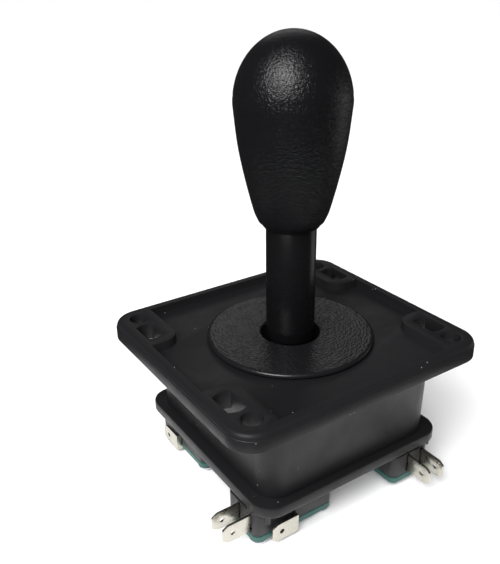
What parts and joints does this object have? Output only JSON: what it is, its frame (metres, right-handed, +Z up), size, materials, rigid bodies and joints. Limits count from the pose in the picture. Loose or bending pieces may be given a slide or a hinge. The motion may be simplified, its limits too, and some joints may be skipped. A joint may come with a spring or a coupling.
{
  "type": "arcade joystick",
  "caption": "Upright bat-handle arcade joystick: rectangular mounting plate, boxed tilt mechanism with return spring, and snap-action switches under the base.",
  "frame": {"origin": "on the shaft's axis, at the height of the heads of the switch screws, which the stick stands on", "axes": "+Z up along the shaft; X along the plate's longer side; -Y is the player's side"},
  "size_m": [0.094, 0.092, 0.1455],
  "materials": {
    "housing_plastic": "satin moulded",
    "bat_plastic": "fine grained moulded",
    "sleeve_plastic": "smooth satin",
    "dust_washer_plastic": "leather grained semi-gloss",
    "nylon": "smooth natural nylon",
    "steel": "zinc plated",
    "switch_case": "satin moulded",
    "switch_cover": "satin moulded",
    "plunger_plastic": "smooth moulded",
    "blade_metal": "tin plated"
  },
  "bodies": {
    "base": {"top_housing": "housing_plastic", "bottom_plate": "housing_plastic", "dust_washer": "dust_washer_plastic", "spring_seat": "steel", "corner_screw_1": "steel", "corner_screw_2": "steel", "corner_screw_3": "steel", "corner_screw_4": "steel", "switch_front_case": "switch_case", "switch_front_cover": "switch_cover", "switch_front_com_blade": "blade_metal", "switch_front_nc_blade": "blade_metal", "switch_front_no_blade": "blade_metal", "switch_front_screw_outer": "steel", "switch_front_screw_inner": "steel", "switch_right_case": "switch_case", "switch_right_cover": "switch_cover", "switch_right_com_blade": "blade_metal", "switch_right_nc_blade": "blade_metal", "switch_right_no_blade": "blade_metal", "switch_right_screw_outer": "steel", "switch_right_screw_inner": "steel", "switch_back_case": "switch_case", "switch_back_cover": "switch_cover", "switch_back_com_blade": "blade_metal", "switch_back_nc_blade": "blade_metal", "switch_back_no_blade": "blade_metal", "switch_back_screw_outer": "steel", "switch_back_screw_inner": "steel", "switch_left_case": "switch_case", "switch_left_cover": "switch_cover", "switch_left_com_blade": "blade_metal", "switch_left_nc_blade": "blade_metal", "switch_left_no_blade": "blade_metal", "switch_left_screw_outer": "steel", "switch_left_screw_inner": "steel"},
    "tilt_cross": {"centering_spring": "steel"},
    "stick_carrier": {"pivot_ball": "housing_plastic", "centering_flange": "nylon", "switch_actuator": "nylon", "lower_washer": "steel"},
    "handle": {"steel_shaft": "steel", "shaft_sleeve": "sleeve_plastic", "bat_handle": "bat_plastic", "e_clip": "steel"},
    "plunger_front": {"switch_front_plunger": "plunger_plastic"},
    "plunger_right": {"switch_right_plunger": "plunger_plastic"},
    "plunger_back": {"switch_back_plunger": "plunger_plastic"},
    "plunger_left": {"switch_left_plunger": "plunger_plastic"}
  },
  "joints": [
    {"name": "tilt_forward_back", "type": "hinge", "parent": "base", "child": "tilt_cross", "pos_m": [0, 0, 0.0402], "axis": [1, 0, 0], "range_deg": [-6, 6], "stiffness_Nm_per_rad": 1.6, "deforming": ["centering_spring"]},
    {"name": "tilt_left_right", "type": "hinge", "parent": "tilt_cross", "child": "stick_carrier", "pos_m": [0, 0, 0.0402], "axis": [0, 1, 0], "range_deg": [-6, 6], "stiffness_Nm_per_rad": 1.6, "deforming": ["centering_spring"]},
    {"name": "handle_spin", "type": "hinge", "parent": "stick_carrier", "child": "handle", "pos_m": [0, 0, 0.0512], "axis": [0, 0, 1], "continuous": true},
    {"name": "plunger_front_press", "type": "slide", "parent": "base", "child": "plunger_front", "axis": [0, -1, 0], "range_m": [-0.00132, 0.00132]},
    {"name": "plunger_right_press", "type": "slide", "parent": "base", "child": "plunger_right", "axis": [1, 0, 0], "range_m": [-0.00132, 0.00132]},
    {"name": "plunger_back_press", "type": "slide", "parent": "base", "child": "plunger_back", "axis": [0, 1, 0], "range_m": [-0.00132, 0.00132]},
    {"name": "plunger_left_press", "type": "slide", "parent": "base", "child": "plunger_left", "axis": [-1, 0, 0], "range_m": [-0.00132, 0.00132]}
  ],
  "couplings": [
    {"joint": "plunger_back_press", "follows": "tilt_forward_back", "m_per_rad": 0.0125},
    {"joint": "plunger_front_press", "follows": "tilt_forward_back", "m_per_rad": -0.0125},
    {"joint": "plunger_left_press", "follows": "tilt_left_right", "m_per_rad": 0.0125},
    {"joint": "plunger_right_press", "follows": "tilt_left_right", "m_per_rad": -0.0125}
  ]
}
